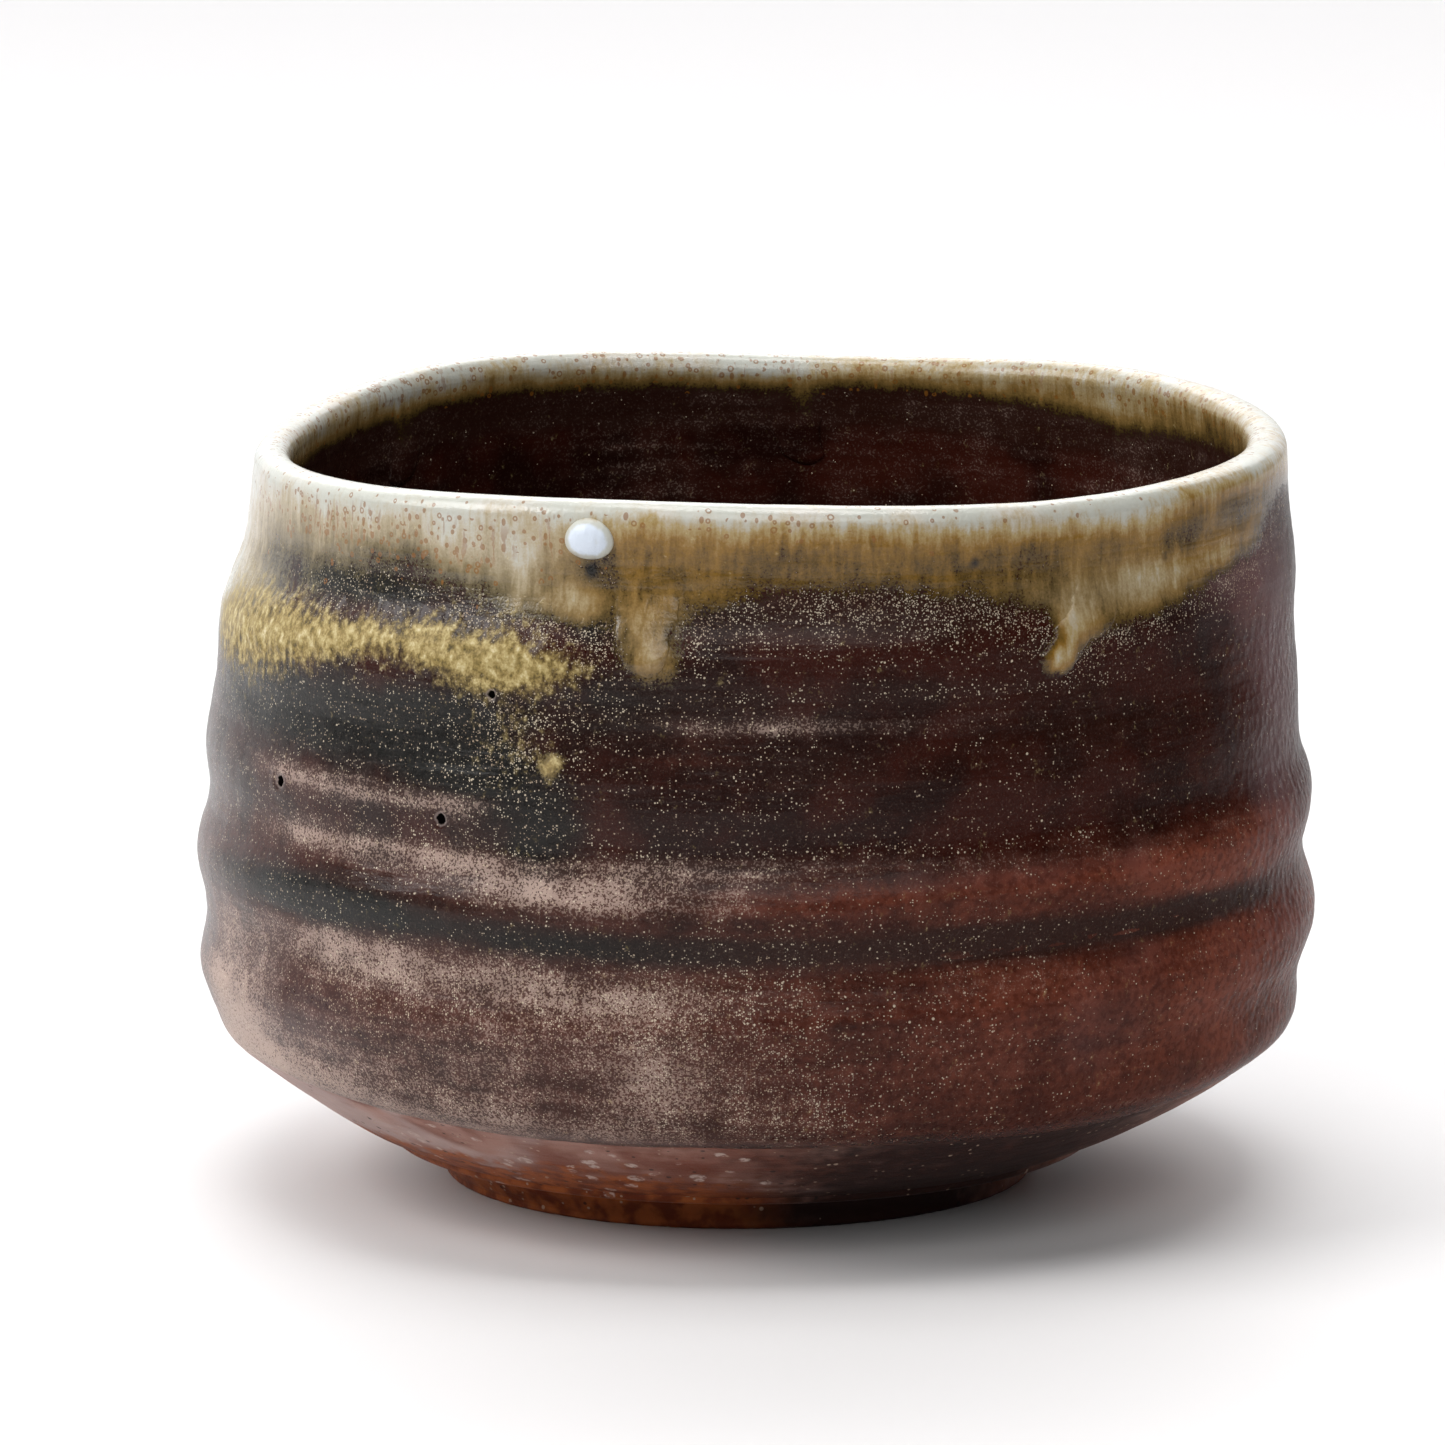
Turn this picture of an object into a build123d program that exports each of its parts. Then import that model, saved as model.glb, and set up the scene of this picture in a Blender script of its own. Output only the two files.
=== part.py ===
from build123d import *

import math
import os

from scipy.interpolate import CubicSpline, PchipInterpolator

# A matcha bowl: a thrown half-cylinder tea bowl on a low turned foot, with its coats and runs of glaze.
# Lengths are in millimetres and angles in degrees. The origin is on the table under the middle of the bowl,
# and +Z is up.
# Angles go round the bowl from +X, anticlockwise seen from above, so -90 is the front.

# Driving dimensions
RIM_HEIGHT = 80.0  # the mean height of the clay's lip over the table
RIM_RADIUS = 54.0
RIM_CORNERS = 0.9  # how far the mouth stands out at the back, on both sides, from a circle
RIM_ROUND = 1.3  # the rounding of the clay's lip
COAT = 0.5  # the thickness of the glaze coats
RUN_COAT = 0.7  # how far runs, ash and bead stand proud of the coats
FOOT_HEIGHT = 4.2  # the table to the flat that the foot ring stands on
FOOT_RADIUS = 31.2
FOOT_SHIFT = -1.3  # the foot stands a little to the left of the middle
FOOT_FLARE = 2.0  # how much further its left side reaches at the top
FOOT_ROUND = 0.8  # the rounding of its lower edges
RECESS_RADIUS = 23.5  # the turned hollow inside the foot ring
RECESS_DEPTH = 5.6
SPIRAL_RISE = 12.9  # rise of the throwing spiral in one turn
SPIRAL_START = 42.4  # height of the spiral's crest at angle 0
SPIRAL_DEPTH = 0.65  # height of the crests over the mean wall, in the lower half
LEAN = 1.7  # how far the upper wall leans to the right
GLAZE_LINE = 72.4  # the mean height of the rim glaze's lower edge
BARE_LINE = 14.6  # the mean height of the outer glaze's lower edge
RUN_TOP = 75.5  # where the runs leave the rim glaze
ASH_ANGLE = -137
ASH_HEIGHT = 65.0
ASH_LENGTH = 58.0
ASH_WIDTH = 8.0
BEAD_ANGLE = -108
BEAD_HEIGHT = 77.2
BEAD_RADIUS = 2.2
WALL_MIDDLE = 1.5  # how deep in the clay, from its inside, the coats of the two sides are parted
OUTREACH = 64.0  # from the middle to beyond the outside
TOP = 86.0  # the walls are drawn up to here before the lip is cut
POINTS = 20  # points round each section

# The runs as (angle, height of the tip, width)
OUTER_RUNS = [(-101.5, 64.0, 6.5), (-57.0, 62.0, 6.0), (38.0, 65.5, 5.5), (96.0, 60.0, 6.5)]
INNER_RUNS = [(84.0, 68.5, 6.0), (38.0, 66.5, 7.0), (16.0, 67.0, 6.0), (140.0, 69.0, 5.5)]

# The clay's outside as (height, mean radius), from under the foot's top over the belly to above the lip
OUTSIDE = [
    (2.2, 31.0),
    (FOOT_HEIGHT, 36.2),
    (5.8, 40.2),
    (8.0, 44.6),
    (11.0, 49.6),
    (13.6, 53.3),
    (15.6, 55.8),
    (17.5, 57.1),
    (20.5, 58.0),
    (25.0, 58.6),
    (30.0, 58.9),
    (36.0, 58.7),
    (43.0, 58.4),
    (50.0, 57.7),
    (57.0, 57.0),
    (62.0, 56.7),
    (66.0, 56.1),
    (70.0, 55.2),
    (75.0, 54.7),
    (TOP, 54.2),
]
# The clay's inside as (height, mean radius), from the hollow that tea gathers in up to above the lip
INSIDE = [
    (10.4, 4.0),
    (10.6, 9.0),
    (11.3, 18.0),
    (13.0, 29.0),
    (15.8, 38.5),
    (19.8, 46.0),
    (25.0, 51.3),
    (31.0, 53.9),
    (40.0, 54.4),
    (50.0, 53.9),
    (60.0, 53.1),
    (70.0, 51.9),
    (78.0, 51.4),
    (TOP, 51.2),
]
# How the clay's lip rises and dips round the bowl, as (angle, height over its mean)
LIP = [
    (0, 0.2),
    (30, 1.1),
    (60, 0.8),
    (85, 0.3),
    (110, 1.3),
    (130, 1.3),
    (155, -0.2),
    (180, -1.0),
    (210, -1.0),
    (240, 0.0),
    (270, 0.2),
    (300, -0.7),
    (330, -0.4),
    (360, 0.2),
]
outside_curve = PchipInterpolator(*zip(*OUTSIDE))
inside_curve = PchipInterpolator(*zip(*INSIDE))
lip_curve = CubicSpline(*zip(*LIP), bc_type="periodic")


def blend(value, start, end):
    """0 below start and 1 above end, smooth between."""
    share = min(1.0, max(0.0, (value - start) / (end - start)))
    return share * share * (3 - 2 * share)


def spiral(angle, height):
    """The throwing spiral: 1 on its crest, -1 in its groove."""
    return math.cos(2 * math.pi * ((height - SPIRAL_START) / SPIRAL_RISE - angle / 360))


def unevenness(angle, height):
    """How far the hand-thrown wall stands off its mean circle."""
    turn = math.radians(angle)
    bow = 0.3 * math.cos(2 * turn - 1.1) + 0.2 * math.cos(3 * turn + 0.6)
    lean = LEAN * blend(height, 56, 76) - 1.3 * (1 - blend(height, 4, 13))
    corners = RIM_CORNERS * blend(height, 50, 76) * blend(math.sin(turn), 0, 0.6) * math.sin(2 * turn) ** 2
    return bow * blend(height, 6, 30) + lean * math.cos(turn) + corners


def outside_radius(angle, height):
    depth = SPIRAL_DEPTH * blend(height, 14, 24) * (1 - 0.7 * blend(height, 42, 52))
    return float(outside_curve(height)) + unevenness(angle, height) + depth * spiral(angle, height)


def inside_radius(angle, height):
    depth = 0.25 * blend(height, 20, 30)
    bow = unevenness(angle, height) * blend(height, 12, 26)
    return float(inside_curve(height)) + bow + depth * spiral(angle, height)


def filled(radius, curve, heights, growth):
    """A solid filled to a thrown surface, moved square to its mean outline by growth: + is outwards."""
    turns = [i / POINTS for i in range(POINTS + 1)]
    with BuildPart() as solid:
        for height in heights:
            slope = float(curve(height, 1))
            across = growth / math.hypot(1, slope)
            angles = [90 + 360 * turn for turn in turns[:-1]]
            spots = [Vector(radius(angle, height) + across, 0).rotate(Axis.Z, angle) for angle in angles]
            with BuildSketch(Plane.XY.offset(height - across * slope)):
                with BuildLine():
                    add(Edge.make_spline(spots, periodic=True, parameters=turns))
                make_face()
        loft()
    return solid.part


def levels(low, high, step):
    """Evenly spaced heights from low to high."""
    count = round((high - low) / step)
    return [low + (high - low) * i / count for i in range(count + 1)]


OUTSIDE_LEVELS = [2.2, 3.0] + levels(FOOT_HEIGHT, TOP, 2.5)
INSIDE_LEVELS = [10.4, 10.6, 11.3, 13.0, 15.8, 19.2, 23.0] + levels(27.0, TOP, 4.0)


def above(surface):
    """The solid above a surface given as a height at each x and y."""
    spots = [15.0 * i for i in range(-5, 6)]
    face = Face.make_surface_from_array_of_points([[Vector(x, y, surface(x, y)) for y in spots] for x in spots])
    with BuildPart() as solid:
        extrude(face, amount=TOP + 10, dir=(0, 0, 1))
    return solid.part


def lip_height(x, y):
    """The height of the clay's lip, level in the middle of the mouth where there is no clay."""
    angle = math.degrees(math.atan2(y, x)) % 360
    return RIM_HEIGHT + float(lip_curve(angle)) * blend(math.hypot(x, y), 20, 45)


def bowl(skin):
    """The bowl's walls with a coat of this thickness all over. With 0 it is the bare clay."""
    outside = filled(outside_radius, outside_curve, OUTSIDE_LEVELS, skin)
    inside = filled(inside_radius, inside_curve, INSIDE_LEVELS, -skin)
    over_lip = above(lambda x, y: lip_height(x, y) + skin)
    with BuildPart() as walls:
        add(outside)
        add(inside, mode=Mode.SUBTRACT)
        add(over_lip, mode=Mode.SUBTRACT)
        lip_edges = walls.edges().filter_by(lambda edge: edge.center().Z > RIM_HEIGHT - 5)
        fillet(lip_edges, RIM_ROUND + skin)
        split(bisect_by=Plane.XY.offset(FOOT_HEIGHT), keep=Keep.TOP)
    return walls.part


def glaze_line(x, y):
    """The height of the rim glaze's lower edge, lowest at the left and highest at the right."""
    turn = math.atan2(y, x)
    wave = 2.0 * math.cos(turn + 0.1) + 0.7 * math.cos(3 * turn + 2.1) + 0.4 * math.cos(7 * turn)
    return GLAZE_LINE + wave * blend(math.hypot(x, y), 20, 45)


def bare_line(x, y):
    """The height of the outer glaze's lower edge, at the turned underside."""
    turn = math.atan2(y, x)
    wave = 1.2 * math.cos(2 * turn - 0.4) + 0.5 * math.cos(5 * turn + 1.0)
    return BARE_LINE + wave * blend(math.hypot(x, y), 20, 45)


def facing(angle, height):
    """The upright plane through the middle of the bowl that looks out at this angle."""
    outwards = Vector(1, 0, 0).rotate(Axis.Z, angle)
    return Plane(origin=(0, 0, height), x_dir=outwards.rotate(Axis.Z, 90), z_dir=outwards)


# Whole shapes that the pieces are cut from
clay_walls = bowl(0)
coated_walls = bowl(COAT)
thick_walls = bowl(COAT + RUN_COAT)
inner_side = filled(inside_radius, inside_curve, INSIDE_LEVELS, WALL_MIDDLE)
over_glaze_line = above(glaze_line)
over_bare_line = above(bare_line)

# The thrown body, with the turned hollow of the foot carried on up into its floor
with BuildPart() as clay_body:
    add(clay_walls)
    with BuildSketch(Plane.XY.offset(FOOT_HEIGHT)):
        Circle(RECESS_RADIUS)
    extrude(amount=RECESS_DEPTH - FOOT_HEIGHT, mode=Mode.SUBTRACT)

# The foot flares into the underside at the left, and is undercut at the front and right
with BuildPart() as foot_ring:
    with BuildSketch(Plane.XY):
        with Locations((FOOT_SHIFT, 0)):
            Circle(FOOT_RADIUS)
    with BuildSketch(Plane.XY.offset(FOOT_HEIGHT)):
        with Locations((FOOT_SHIFT - FOOT_FLARE, 0)):
            Ellipse(FOOT_RADIUS + FOOT_FLARE + 0.6, FOOT_RADIUS + 0.9)
    loft()
    fillet(foot_ring.edges().sort_by(Axis.Z)[0], FOOT_ROUND)
    with BuildSketch(Plane.XY):
        Circle(RECESS_RADIUS)
    extrude(amount=FOOT_HEIGHT, mode=Mode.SUBTRACT)
    recess_edges = foot_ring.edges().filter_by(GeomType.CIRCLE).group_by(SortBy.RADIUS)[0]
    fillet(recess_edges.sort_by(Axis.Z)[0], FOOT_ROUND)

# The glaze over the inside, the lip and the outside, before it is divided
with BuildPart() as whole_coat:
    add(coated_walls)
    add(clay_walls, mode=Mode.SUBTRACT)

with BuildPart() as rim_glaze:
    add(whole_coat.part)
    add(over_glaze_line, mode=Mode.INTERSECT)

with BuildPart() as inner_glaze:
    add(whole_coat.part)
    add(over_glaze_line, mode=Mode.SUBTRACT)
    add(inner_side, mode=Mode.INTERSECT)

with BuildPart() as outer_glaze:
    add(whole_coat.part)
    add(over_glaze_line, mode=Mode.SUBTRACT)
    add(inner_side, mode=Mode.SUBTRACT)
    add(over_bare_line, mode=Mode.INTERSECT)

# Thick runs of the rim glaze down the outside
with BuildPart() as outer_runs:
    for angle, tip, width in OUTER_RUNS:
        with BuildSketch(facing(angle, (RUN_TOP + tip) / 2)):
            SlotOverall(RUN_TOP - tip, width, rotation=90)
        extrude(amount=OUTREACH)
    add(thick_walls, mode=Mode.INTERSECT)
    add(coated_walls, mode=Mode.SUBTRACT)
    add(inner_side, mode=Mode.SUBTRACT)

# Runs of the rim glaze down the inside
with BuildPart() as inner_runs:
    for angle, tip, width in INNER_RUNS:
        with BuildSketch(facing(angle, (RUN_TOP + tip) / 2)):
            SlotOverall(RUN_TOP - tip, width, rotation=90)
        extrude(amount=OUTREACH)
    add(thick_walls, mode=Mode.INTERSECT)
    add(coated_walls, mode=Mode.SUBTRACT)
    add(inner_side, mode=Mode.INTERSECT)

# The crust of melted ash on the left shoulder, where the spiral makes a ledge
with BuildPart() as ash_crust:
    with BuildSketch(facing(ASH_ANGLE, ASH_HEIGHT)):
        Ellipse(ASH_LENGTH / 2, ASH_WIDTH / 2)
    extrude(amount=OUTREACH)
    add(thick_walls, mode=Mode.INTERSECT)
    add(coated_walls, mode=Mode.SUBTRACT)
    add(inner_side, mode=Mode.SUBTRACT)

# A bead of glaze that hangs just under the lip
with BuildPart() as glaze_bead:
    with Locations(facing(BEAD_ANGLE, BEAD_HEIGHT).offset(RIM_RADIUS).location):
        Sphere(BEAD_RADIUS)
    add(coated_walls, mode=Mode.SUBTRACT)

pieces = {
    "clay_body": clay_body,
    "foot_ring": foot_ring,
    "outer_glaze": outer_glaze,
    "inner_glaze": inner_glaze,
    "rim_glaze": rim_glaze,
    "outer_runs": outer_runs,
    "inner_runs": inner_runs,
    "ash_crust": ash_crust,
    "glaze_bead": glaze_bead,
}
os.makedirs("parts", exist_ok=True)
for name, piece in pieces.items():
    piece.part.label = name
    export_step(piece.part, f"parts/{name}.step")
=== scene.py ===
"""Matcha bowl: a thrown stoneware tea bowl, dark iron glaze dusted with ash, pale ash glaze at the lip.

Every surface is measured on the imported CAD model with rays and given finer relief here.
Lengths are in millimetres until a mesh is made. Angles are in degrees round the bowl from +X,
anticlockwise seen from above, so -90 is the front. Heights are over the table.
"""

import itertools
import math

import bpy
import numpy as np
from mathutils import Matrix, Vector
from mathutils.bvhtree import BVHTree


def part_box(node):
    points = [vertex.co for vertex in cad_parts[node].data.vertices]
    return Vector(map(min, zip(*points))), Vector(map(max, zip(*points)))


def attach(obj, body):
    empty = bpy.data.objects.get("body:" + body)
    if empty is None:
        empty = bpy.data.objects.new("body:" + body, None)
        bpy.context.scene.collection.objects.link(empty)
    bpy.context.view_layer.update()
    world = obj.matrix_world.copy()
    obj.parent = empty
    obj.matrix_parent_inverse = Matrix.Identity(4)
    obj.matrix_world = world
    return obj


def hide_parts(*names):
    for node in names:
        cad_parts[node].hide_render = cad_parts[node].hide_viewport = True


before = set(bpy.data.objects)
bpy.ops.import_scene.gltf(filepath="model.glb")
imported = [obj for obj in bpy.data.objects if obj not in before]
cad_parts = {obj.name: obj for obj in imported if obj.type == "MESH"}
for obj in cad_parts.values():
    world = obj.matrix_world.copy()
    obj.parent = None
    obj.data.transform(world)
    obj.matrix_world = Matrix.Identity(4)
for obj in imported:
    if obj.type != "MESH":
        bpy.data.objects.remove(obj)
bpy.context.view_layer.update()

MM = 0.001
TAU = 2 * math.pi
QUALITY = 1.0


# ---------------- small tools


def count(number):
    return int(number * QUALITY)


def column(start, stop, rows, endpoint=True):
    """Even steps, one for each row of a grid."""
    return np.linspace(start, stop, rows, endpoint=endpoint)[:, None]


def round_angles(number):
    """Even angles right round the bowl, one for each column of a grid."""
    around = count(number)
    return (np.arange(around) * 360 / around)[None, :]


def smooth(value, low, high):
    """0 below low and 1 above high, smooth between; the other way round if low is above high."""
    share = np.clip((value - low) / (high - low), 0, 1)
    return share * share * (3 - 2 * share)


def turn_between(angle, middle):
    """The angle from middle, between -180 and 180."""
    return (angle - middle + 180) % 360 - 180


def patches(angle, height, rows):
    """The sum of soft oval patches: (angle, height, half width in degrees, half height, strength)."""
    total = 0
    for middle, level, wide, tall, strength in rows:
        across = turn_between(angle, middle) / wide
        up = (height - level) / tall
        total = total + strength * np.exp(-(across**2) - up**2)
    return total


def span(angle, start, end, soft):
    """1 between two angles, going anticlockwise from start to end, and 0 elsewhere."""
    middle = (start + end) / 2
    half = (end - start) / 2
    return smooth(np.abs(turn_between(angle, middle)), half + soft / 2, half - soft / 2)


LATTICE_SIZE = 32
SEED_SHIFT = np.array([3.7, 11.3, 7.9])  # each seed looks at another part of the lattice

random = np.random.default_rng(11)
LATTICE = random.normal(size=(3, LATTICE_SIZE, LATTICE_SIZE, LATTICE_SIZE))
LATTICE /= np.linalg.norm(LATTICE, axis=0)


def noise(points, size, seed=0):
    """Gradient noise of about -0.7 to 0.7, whose bumps are about this size."""
    spot = points / size + SEED_SHIFT * (seed + 1)
    cell = np.floor(spot).astype(int)
    part = spot - cell
    ease = part**3 * (part * (part * 6 - 15) + 10)
    total = 0
    for corner in itertools.product((0, 1), repeat=3):
        x, y, z = np.moveaxis((cell + corner) % LATTICE_SIZE, -1, 0)
        slope = LATTICE[:, x, y, z]
        away = part - corner
        rise = slope[0] * away[..., 0] + slope[1] * away[..., 1] + slope[2] * away[..., 2]
        total = total + rise * np.abs(1 - np.array(corner) - ease).prod(-1)
    return total


def clouds(points, size, octaves, seed):
    """Noise with finer and finer detail."""
    return sum(noise(points, size / 2**i, seed + i) / 2**i for i in range(octaves))


# ---------------- measuring the CAD model

SIDES = 128  # the rays of one ring
ANGLES = np.arange(SIDES) * 360 / SIDES
WALL_WAVES = 7  # how many harmonics of a ring are kept
EDGE_WAVES = 10
BLUR_ROWS = 20
ROW = 0.25  # between the rings of rays on a wall
DIP_STEP = 0.4  # degrees between those on the floor
FAR = 100.0  # where rays from outside start
MIDDLE = 45.0  # the height on the axis that the inside is measured from
TRUE_TOP = 75.0  # the walls are measured up to here, and carried on straight above it
LIP_ROUND = 2.1  # the height of the rounded part of the lip


def caster(*names):
    """A tree of the faces of these CAD nodes, for rays."""
    corners, faces = [], []
    for name in names:
        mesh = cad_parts[name].data
        start = len(corners)
        corners += [corner.co for corner in mesh.vertices]
        faces += [[start + i for i in face.vertices] for face in mesh.polygons]
    return BVHTree.FromPolygons(corners, faces)


def reach(tree, start, way):
    """How far a ray goes before it meets the tree."""
    hit = tree.ray_cast(Vector(start) * MM, Vector(way))
    if hit[0] is None:
        raise ValueError(f"no surface from {start} towards {way}")
    return hit[3] / MM


def unit(angle):
    turn = math.radians(angle)
    return math.cos(turn), math.sin(turn)


def outer_radius(tree, angle, height):
    """The radius of the tree's surface as a ray from outside meets it."""
    x, y = unit(angle)
    return FAR - reach(tree, (x * FAR, y * FAR, height), (-x, -y, 0))


class Table:
    """A smooth surface from measures at each angle, one row for each value of a second coordinate."""

    def __init__(self, values, measures, blur):
        beyond = ((BLUR_ROWS, BLUR_ROWS), (0, 0))
        rows = np.pad(np.array(measures), beyond, mode="reflect", reflect_type="odd")
        away = np.arange(-BLUR_ROWS, BLUR_ROWS + 1) * abs(values[1] - values[0])
        weights = np.exp(-0.5 * (away / blur) ** 2)
        weights /= weights.sum()
        rows = sum(weight * rows[i : i + len(values)] for i, weight in enumerate(weights))
        self.values = np.array(values)
        self.waves = np.fft.rfft(rows, axis=1)[:, :WALL_WAVES] / SIDES
        self.waves[:, 1:] *= 2

    def __call__(self, angle, value):
        place = (np.asarray(value) - self.values[0]) / (self.values[1] - self.values[0])
        first = np.clip(np.floor(place).astype(int), 0, len(self.values) - 2)
        part = place - first
        total = 0
        for k in range(WALL_WAVES):
            wave = self.waves[first, k] * (1 - part) + self.waves[first + 1, k] * part
            total = total + (wave * np.exp(1j * k * np.radians(angle))).real
        return total


def ring(measure):
    """A smooth function of the angle from one measure at each of the angles."""
    waves = np.fft.rfft([measure(angle) for angle in ANGLES])[:EDGE_WAVES] / SIDES
    waves[1:] *= 2
    return lambda angle: sum((w * np.exp(1j * k * np.radians(angle))).real for k, w in enumerate(waves))


outside_tree = caster("outer_glaze", "rim_glaze", "clay_body")
inside_tree = caster("inner_glaze", "rim_glaze")
foot_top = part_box("foot_ring")[1][2] / MM

outside_heights = np.arange(foot_top + 0.3, TRUE_TOP, ROW)
outside = Table(
    outside_heights,
    [[outer_radius(outside_tree, angle, z) for angle in ANGLES] for z in outside_heights],
    blur=0.6,
)
inside_heights = np.arange(MIDDLE, TRUE_TOP, ROW)
inside = Table(
    inside_heights,
    [[reach(inside_tree, (0, 0, z), (x, y, 0)) for x, y in map(unit, ANGLES)] for z in inside_heights],
    blur=0.6,
)
dips = np.arange(-90, 0.1, DIP_STEP)
inside_floor = Table(
    dips,
    [
        [reach(inside_tree, (0, 0, MIDDLE), (x * c, y * c, s)) for x, y in map(unit, ANGLES)]
        for c, s in map(unit, dips)
    ],
    blur=0.9,
)


def lip_measure(angle):
    x, y = unit(angle)
    middle = (outside(angle, TRUE_TOP - 1) + inside(angle, TRUE_TOP - 1)) / 2
    return FAR - reach(outside_tree, (x * middle, y * middle, FAR), (0, 0, -1))


def node_edge(name, top):
    """The highest or lowest point of a CAD node at each angle, as a smooth function."""
    points = np.array([corner.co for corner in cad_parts[name].data.vertices]) / MM
    angles = np.degrees(np.arctan2(points[:, 1], points[:, 0]))

    def measure(angle):
        near = points[np.abs(turn_between(angles, angle)) < 270 / SIDES, 2]
        return near.max() if top else near.min()

    return ring(measure)


lip_height = ring(lip_measure)
outer_top = node_edge("outer_glaze", True)
outer_bottom = node_edge("outer_glaze", False)
inner_top = node_edge("inner_glaze", True)


# ---------------- relief and paint of the wall

OUTER_RADIUS = 57.0  # about the radius of the outer wall
INNER_RADIUS = 52.0
SPIRAL_RISE = 12.9  # of the throwing spiral, in one turn
SPIRAL_START = 42.4
FIRE_SIDE = -145.0  # the side that faced the fire, where the ash fell
PINHOLES = [  # angle, height, radius
    (-147, 48.2, 0.55), (-123.2, 47.4, 0.5), (-118, 60.6, 0.42), (62, 40, 0.5), (141, 55, 0.55),
]
PINHOLE_DEPTH = 0.55
PINHOLE_LIP = 0.10
THROWN = np.array([0.16, 0.16, 1.0])  # stretches noise into lines round the wall
WIPED = np.array([0.35, 0.35, 1.0])
TALL = np.array([1.0, 1.0, 0.5])  # stretches noise downwards, as glaze runs


def wall_points(angle, height, radius):
    turn, height, radius = np.broadcast_arrays(np.radians(angle), height, radius)
    return np.stack([radius * np.cos(turn), radius * np.sin(turn), height], -1)


def degrees_wide(length, radius):
    """The angle that a length round the wall takes up."""
    return length * 360 / (TAU * radius)


def outside_relief(angle, height):
    """How far the real glazed surface stands off the smooth one."""
    spots = wall_points(angle, height, OUTER_RADIUS)
    lump = 0.16 * clouds(spots, 14, 2, 1) + 0.05 * clouds(spots, 4, 2, 5)
    lines = 0.10 * clouds(spots * THROWN, 2.6, 3, 9) * smooth(height, 12, 20)
    wipe = 0.25 * noise(spots * WIPED, 6.5, 14) * smooth(height, 44, 50) * smooth(height, 68, 62)
    holes = 0
    for middle, level, size in PINHOLES:
        gap = np.hypot(turn_between(angle, middle) / degrees_wide(1, 58), height - level)
        holes = holes - PINHOLE_DEPTH * np.exp(-((gap / size) ** 2))
        holes = holes + PINHOLE_LIP * np.exp(-(((gap - 1.3) / 0.5) ** 2))
    return (lump + lines + wipe) * smooth(height, lip_height(angle) + 2, lip_height(angle) - 8) + holes


def follow(angle, points):
    """A curve round the bowl through these (angle, value) points, with a little easing."""
    places, values = np.array(points, float).T
    turn = np.asarray(angle) % 360
    steps = (-3, -1.5, 0, 1.5, 3)
    return sum(np.interp(turn + step, places % 360, values, period=360) for step in steps) / len(steps)


# Where the ash glaze thins out to nothing on the outside
ASH_LINE = [
    (-178, 62), (-165, 63), (-150, 67.5), (-140, 68.5), (-128, 69), (-118, 69.5), (-112, 70.5), (-106, 70.5),
    (-98, 69.5), (-92, 71.6), (-84, 72.6), (-76, 72.8), (-68, 71.8), (-60, 70), (-52, 67), (-46, 67),
    (-40, 68.4), (-30, 71), (-20, 74.2), (-10, 76.4), (5, 76), (25, 73.5), (38, 70.5), (55, 73.5), (75, 72),
    (96, 69), (112, 72.5), (135, 71), (160, 66),
]
# The middle of the crust of ash
CRUST_LINE = [
    (-172, 62), (-150, 63.2), (-140, 64.4), (-130, 65.1), (-120, 64.2), (-106, 63.4), (0, 64),
]
# How far down from the lip the ash glaze reaches on the inside
INSIDE_REACH = [
    (0, 5), (25, 6.2), (45, 5.6), (62, 4.2), (80, 2.8), (100, 3.8), (130, 4.2), (180, 4.6), (270, 5),
]

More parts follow.
